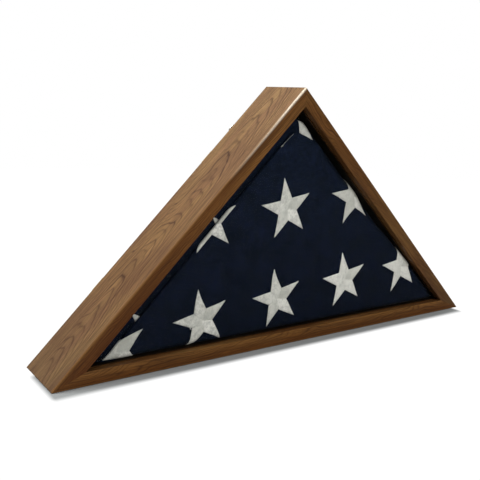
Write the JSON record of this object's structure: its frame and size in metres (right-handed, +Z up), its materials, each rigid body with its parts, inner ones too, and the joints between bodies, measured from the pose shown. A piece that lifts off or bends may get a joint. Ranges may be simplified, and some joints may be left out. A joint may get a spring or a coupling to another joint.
{
  "type": "flag display case",
  "caption": "Triangular mitred hardwood display case with a glass front and a turn-button back panel, resting on its long base, with a folded flag inside.",
  "frame": {"origin": "middle of the base board's underside, midway between the front and rear edges of the boards", "axes": "+X along the base to the right as seen from the glass, +Y from the glass front to the back panel, +Z up to the apex"},
  "size_m": [0.7166, 0.0965, 0.3595],
  "materials": {
    "walnut_wood": "satin lacquer",
    "beech_biscuit": "raw",
    "clear_glass": "polished",
    "plywood": "satin lacquer",
    "brass": "satin",
    "steel": "nickel plated",
    "navy_cotton": "plain woven cotton",
    "white_embroidery": "satin stitch"
  },
  "bodies": {
    "case": {"bottom_board": "walnut_wood", "left_board": "walnut_wood", "right_board": "walnut_wood", "apex_biscuit": "beech_biscuit", "left_biscuit": "beech_biscuit", "right_biscuit": "beech_biscuit", "glass_pane": "clear_glass", "button_screws": "brass", "left_hanger_strap": "steel", "right_hanger_strap": "steel", "hanger_screws": "steel", "folded_flag": "navy_cotton"},
    "back_panel": {"back_panel": "plywood"},
    "base_left_button": {"base_left_button": "brass"},
    "base_right_button": {"base_right_button": "brass"},
    "left_lower_button": {"left_lower_button": "brass"},
    "left_upper_button": {"left_upper_button": "brass"},
    "right_lower_button": {"right_lower_button": "brass"},
    "right_upper_button": {"right_upper_button": "brass"},
    "left_hanger_ring": {"left_hanger_ring": "steel"},
    "right_hanger_ring": {"right_hanger_ring": "steel"}
  },
  "joints": [
    {"name": "panel_lift_out", "type": "slide", "parent": "case", "child": "back_panel", "axis": [0, 1, 0], "range_m": [0, 0.1]},
    {"name": "base_left_button_turn", "type": "hinge", "parent": "case", "child": "base_left_button", "pos_m": [-0.19, 0.04685, 0.006], "axis": [0, -1, 0], "continuous": true},
    {"name": "base_right_button_turn", "type": "hinge", "parent": "case", "child": "base_right_button", "pos_m": [0.19, 0.04685, 0.006], "axis": [0, 1, 0], "continuous": true},
    {"name": "left_lower_button_turn", "type": "hinge", "parent": "case", "child": "left_lower_button", "pos_m": [-0.26415, 0.04685, 0.08737], "axis": [0, 1, 0], "continuous": true},
    {"name": "left_upper_button_turn", "type": "hinge", "parent": "case", "child": "left_upper_button", "pos_m": [-0.08737, 0.04685, 0.26415], "axis": [0, -1, 0], "continuous": true},
    {"name": "right_lower_button_turn", "type": "hinge", "parent": "case", "child": "right_lower_button", "pos_m": [0.26415, 0.04685, 0.08737], "axis": [0, -1, 0], "continuous": true},
    {"name": "right_upper_button_turn", "type": "hinge", "parent": "case", "child": "right_upper_button", "pos_m": [0.08737, 0.04685, 0.26415], "axis": [0, 1, 0], "continuous": true},
    {"name": "left_hanger_ring_flip", "type": "hinge", "parent": "case", "child": "left_hanger_ring", "pos_m": [-0.05091, 0.0483, 0.3006], "axis": [0.7071, 0, -0.7071], "range_deg": [0, 180]},
    {"name": "right_hanger_ring_flip", "type": "hinge", "parent": "case", "child": "right_hanger_ring", "pos_m": [0.05091, 0.0483, 0.3006], "axis": [0.7071, 0, 0.7071], "range_deg": [0, 180]}
  ]
}
